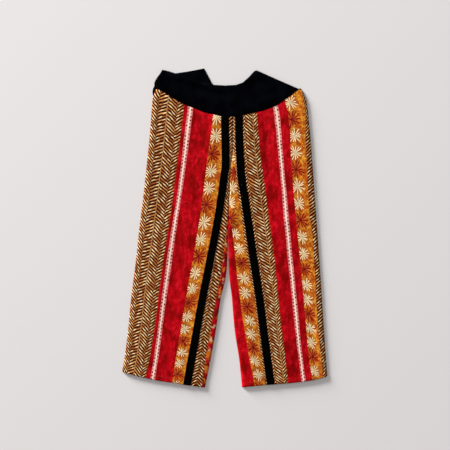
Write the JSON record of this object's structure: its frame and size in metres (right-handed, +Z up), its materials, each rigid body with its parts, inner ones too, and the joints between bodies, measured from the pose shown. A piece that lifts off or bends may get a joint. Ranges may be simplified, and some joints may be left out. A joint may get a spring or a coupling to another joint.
{
  "type": "wide-leg trousers",
  "caption": "Cropped wide-leg cotton trousers with a low crotch and a wide black jersey waistband, laid flat, front up.",
  "frame": {"origin": "on the surface that the garment lies on, in the middle of the rectangle that it covers", "axes": "+X from the wearer's right leg to the left leg, +Y from the hems to the waist, +Z up out of the surface"},
  "size_m": [0.6152, 0.9564, 0.0076],
  "materials": {
    "printed_cotton": "soft printed cotton, matte",
    "black_jersey": "fine black jersey, matte",
    "black_tape": "black cotton strip, matte"
  },
  "bodies": {
    "root": {"leg_front_right": "printed_cotton", "leg_front_left": "printed_cotton", "leg_back_right": "printed_cotton", "leg_back_left": "printed_cotton", "tape_right": "black_tape", "tape_left": "black_tape", "waistband_front": "black_jersey", "waistband_back": "black_jersey"}
  },
  "joints": []
}
